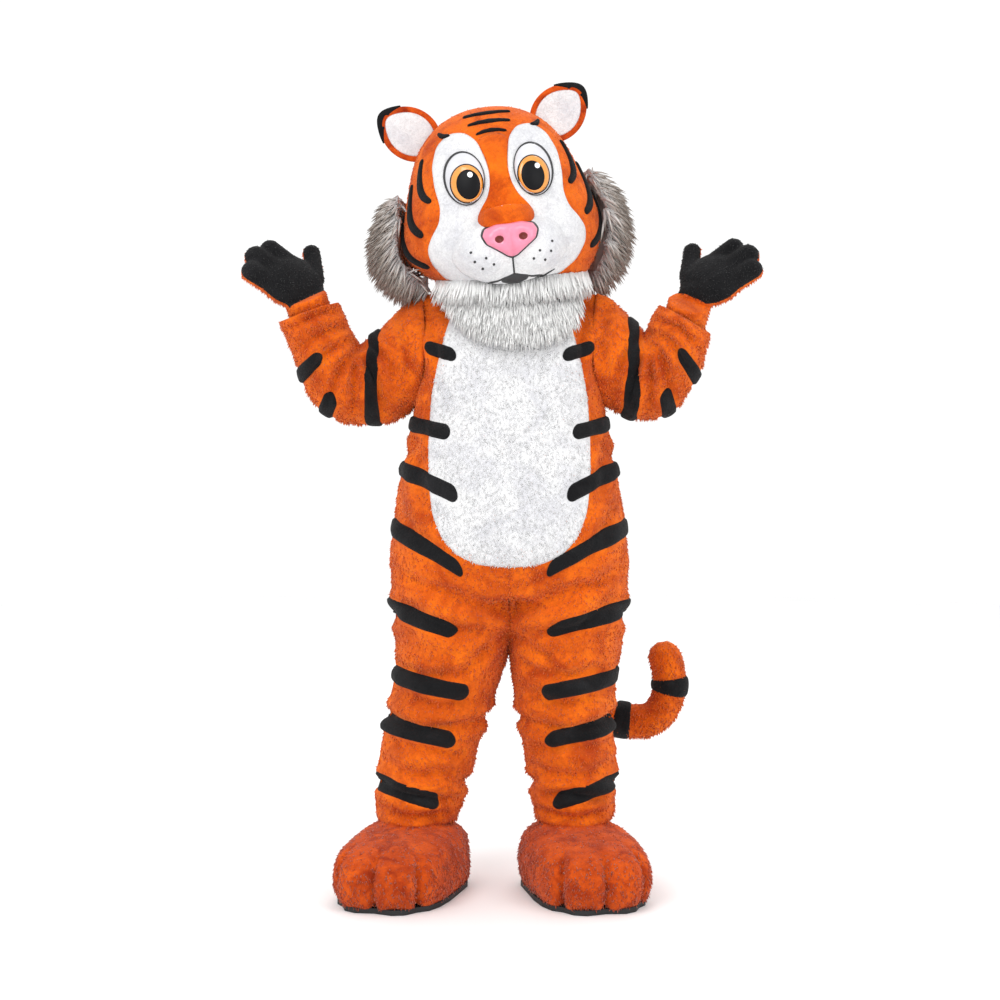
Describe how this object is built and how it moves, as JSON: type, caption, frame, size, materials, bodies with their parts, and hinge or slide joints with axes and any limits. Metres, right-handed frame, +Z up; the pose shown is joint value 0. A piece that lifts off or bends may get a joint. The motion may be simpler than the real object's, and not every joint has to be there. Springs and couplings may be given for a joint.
{
  "type": "tiger mascot costume",
  "caption": "Full plush tiger costume in its worn, hollow form: foam head, one-piece suit with tail, gloves and padded boots.",
  "frame": {"origin": "midway between the wearer's shoulders at the base of the neck, 1.42 m above the floor", "axes": "+Z up, the front of the costume faces -Y, +X towards the wearer's left hand"},
  "size_m": [1.2238, 0.6338, 1.9245],
  "materials": {
    "plush_orange": "short-pile plush, soft and mottled where the nap turns",
    "plush_deep_orange": "short-pile plush in a deeper red-orange",
    "plush_white": "short-pile white plush",
    "plush_black": "short-pile black plush",
    "fur_grey": "long tipped fur, grey and white with taupe ends",
    "fur_white": "long white fur",
    "nose_pink": "glossy moulded pink",
    "mouth_black": "dark satin",
    "eye_white": "glossy white",
    "iris_amber": "glossy amber with a dark pupil",
    "sole_black": "thin black foam rubber"
  },
  "bodies": {
    "root": {"head_shell": "plush_orange", "face": "plush_white", "muzzle": "plush_white", "nose_bridge": "plush_orange", "nose": "nose_pink", "mouth": "mouth_black", "eye_right": "eye_white", "iris_right": "iris_amber", "ear_right": "plush_deep_orange", "ear_tip_right": "plush_black", "ear_lining_right": "plush_white", "ruff_right": "fur_grey", "eye_left": "eye_white", "iris_left": "iris_amber", "ear_left": "plush_deep_orange", "ear_tip_left": "plush_black", "ear_lining_left": "plush_white", "ruff_left": "fur_grey", "bib": "fur_white", "suit_front_right": "plush_orange", "suit_back_right": "plush_orange", "suit_front_left": "plush_orange", "suit_back_left": "plush_orange", "belly": "plush_white", "bar_1_right": "plush_black", "bar_1_left": "plush_black", "bar_2_right": "plush_black", "bar_2_left": "plush_black", "bar_3_right": "plush_black", "bar_3_left": "plush_black", "bar_4_right": "plush_black", "bar_4_left": "plush_black", "bar_5_right": "plush_black", "bar_5_left": "plush_black", "bar_6_right": "plush_black", "bar_6_left": "plush_black", "bar_7_right": "plush_black", "bar_7_left": "plush_black", "bar_8_right": "plush_black", "bar_8_left": "plush_black", "sleeve_right": "plush_orange", "band_upper_right": "plush_black", "band_elbow_right": "plush_black", "band_wrist_right": "plush_black", "glove_back_right": "plush_orange", "glove_palm_right": "plush_black", "boot_right": "plush_deep_orange", "sole_right": "sole_black", "sleeve_left": "plush_orange", "band_upper_left": "plush_black", "band_elbow_left": "plush_black", "band_wrist_left": "plush_black", "glove_back_left": "plush_orange", "glove_palm_left": "plush_black", "boot_left": "plush_deep_orange", "sole_left": "sole_black", "tail": "plush_orange", "tail_band_1": "plush_black", "tail_band_2": "plush_black", "tail_band_3": "plush_black"}
  },
  "joints": []
}
